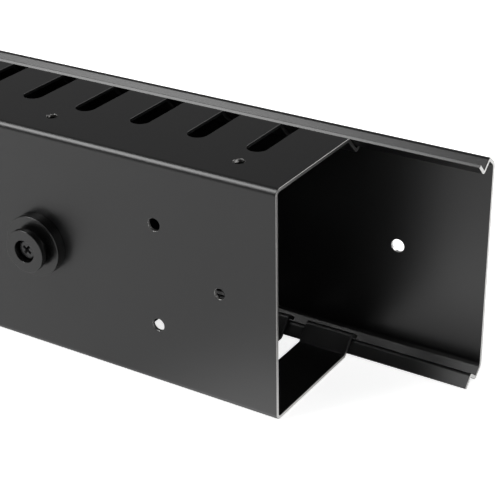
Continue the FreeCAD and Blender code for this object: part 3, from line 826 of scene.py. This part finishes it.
def white_paper(name, mirrored):
    """Matt white paper that looks fully white to the camera, and pale in the coats if mirrored."""
    material = bpy.data.materials.new(name)
    material.use_nodes = True
    tree = material.node_tree
    tree.nodes.clear()
    path = add(tree, "ShaderNodeLightPath").outputs
    lift = add(
        tree, "ShaderNodeMath", {"operation": "MULTIPLY"}, in_0=path["Is Camera Ray"], in_1=PAPER_LIFT
    ).outputs[0]
    if mirrored:
        # Painted light: before the duct's end the paper glows brighter in reflections only, a pool of light
        # that the lower end of the back wall mirrors.
        place = add(tree, "ShaderNodeTexCoord").outputs["Object"]
        corner = (half_length, 0, channel_low.z)
        away = add(
            tree, "ShaderNodeVectorMath", {"operation": "DISTANCE"}, in_0=place, in_1=corner
        ).outputs["Value"]
        painted_pool = add(
            tree, "ShaderNodeMapRange", {"interpolation_type": "SMOOTHSTEP"}, Value=away,
            From_Min=0.0, From_Max=POOL_OF_LIGHT_RADIUS, To_Min=MIRRORED_LIFT + PAINTED_POOL_OF_LIGHT, To_Max=MIRRORED_LIFT,
        ).outputs[0]
        rays = add(
            tree, "ShaderNodeMath", {"operation": "MAXIMUM"},
            in_0=path["Is Glossy Ray"], in_1=path["Is Transmission Ray"],
        ).outputs[0]
        seen = add(tree, "ShaderNodeMath", {"operation": "MULTIPLY"}, in_0=rays, in_1=painted_pool).outputs[0]
        lift = add(tree, "ShaderNodeMath", {"operation": "ADD"}, in_0=lift, in_1=seen).outputs[0]
    matt = add(tree, "ShaderNodeBsdfDiffuse", Color=linear("#e6e6e6")).outputs[0]
    glow = add(tree, "ShaderNodeEmission", Color=(1, 1, 1, 1), Strength=lift).outputs[0]
    total = add(tree, "ShaderNodeAddShader", in_0=matt, in_1=glow).outputs[0]
    add(tree, "ShaderNodeOutputMaterial", Surface=total)
    return material


# The paper's middle face lies in the shade beneath the duct, so the coats mirror no white there.
floor_xs = (-FLOOR_REACH, -half_length, half_length, FLOOR_REACH)
floor_ys = (-FLOOR_REACH, 0, channel_high.y, FLOOR_REACH)
floor_mesh = bpy.data.meshes.new("floor")
floor_mesh.from_pydata(
    [(x, y, channel_low.z) for y in floor_ys for x in floor_xs], [],
    [(4 * j + i, 4 * j + i + 1, 4 * j + i + 5, 4 * j + i + 4) for j in range(3) for i in range(3)],
)
floor_mesh.materials.append(white_paper("white_paper", True))
floor_mesh.materials.append(white_paper("white_paper_under_the_duct", False))
floor_mesh.polygons[4].material_index = 1
floor = bpy.data.objects.new("floor", floor_mesh)
bpy.context.scene.collection.objects.link(floor)

# The surround is white at the horizon and dim overhead, as a studio's walls and ceiling are.
HORIZON_TOP = 0.12
OVERHEAD = 0.2
world = bpy.data.worlds.new("studio")
bpy.context.scene.world = world
world.use_nodes = True
tree = world.node_tree
tree.nodes.clear()
height = add(
    tree, "ShaderNodeSeparateXYZ", in_0=add(tree, "ShaderNodeTexCoord").outputs["Generated"]
).outputs[2]
surround = add(
    tree, "ShaderNodeMapRange", Value=height,
    From_Min=0.0, From_Max=HORIZON_TOP, To_Min=1.0, To_Max=OVERHEAD,
).outputs[0]
path = add(tree, "ShaderNodeLightPath").outputs
shown = add(
    tree, "ShaderNodeMix", {"data_type": "FLOAT"}, Factor=path["Is Camera Ray"], in_2=surround, in_3=1.0
).outputs[0]
sky = add(tree, "ShaderNodeBackground", Color=(1, 1, 1, 1), Strength=shown).outputs[0]
add(tree, "ShaderNodeOutputWorld", Surface=sky)


def soft_lamp(name, place, aim, size, brightness):
    """A softbox; its power follows from its size and how bright its face looks."""
    light = bpy.data.lights.new(name, "AREA")
    light.shape = "RECTANGLE"
    light.size, light.size_y = size
    light.energy = brightness * math.pi * size[0] * size[1]
    lamp = bpy.data.objects.new(name, light)
    bpy.context.scene.collection.objects.link(lamp)
    lamp.location = place
    lamp.rotation_euler = (Vector(aim) - Vector(place)).to_track_quat("-Z", "Y").to_euler()


soft_lamp("key_softbox", (-0.21, -0.42, 0.85), (0.38, 0.02, 0.0), (0.66, 0.66), 9.7)
soft_lamp("back_softbox", (0.98, 1.00, 0.62), (0.38, 0.02, 0.0), (0.80, 0.80), 3.0)
soft_lamp("fill_softbox", (1.8, -1.2, 0.5), (0.35, 0.0, 0.0), (1.0, 1.0), 2.5)

# The camera: its place, turn and focal length were solved from the edges and holes in the
# photograph, in the duct's own frame, and the picture was then moved down by half a pixel.
view_place = Vector((0.64408, -0.31732, 0.21121))
view_right = Vector((0.84952, 0.52739, -0.01309))
view_down = Vector((0.23232, -0.39626, -0.88826))
view_ahead = Vector((-0.47365, 0.75155, -0.45916))
FOCAL_PIXELS = 1481.7
PHOTO_PIXELS = 500
DOWN_PIXELS = 0.45
camera_data = bpy.data.cameras.new("camera")
camera_data.sensor_width = 36
camera_data.lens = camera_data.sensor_width * FOCAL_PIXELS / PHOTO_PIXELS
camera_data.shift_y = DOWN_PIXELS / PHOTO_PIXELS
camera_data.clip_start = 0.01
camera_data.clip_end = 50
camera = bpy.data.objects.new("camera", camera_data)
bpy.context.scene.collection.objects.link(camera)
view_turn = Matrix((view_right, -view_down, -view_ahead)).transposed().to_4x4()
camera.matrix_world = Matrix.Translation(view_place) @ view_turn
bpy.context.scene.camera = camera
bpy.context.scene.view_settings.view_transform = "Standard"
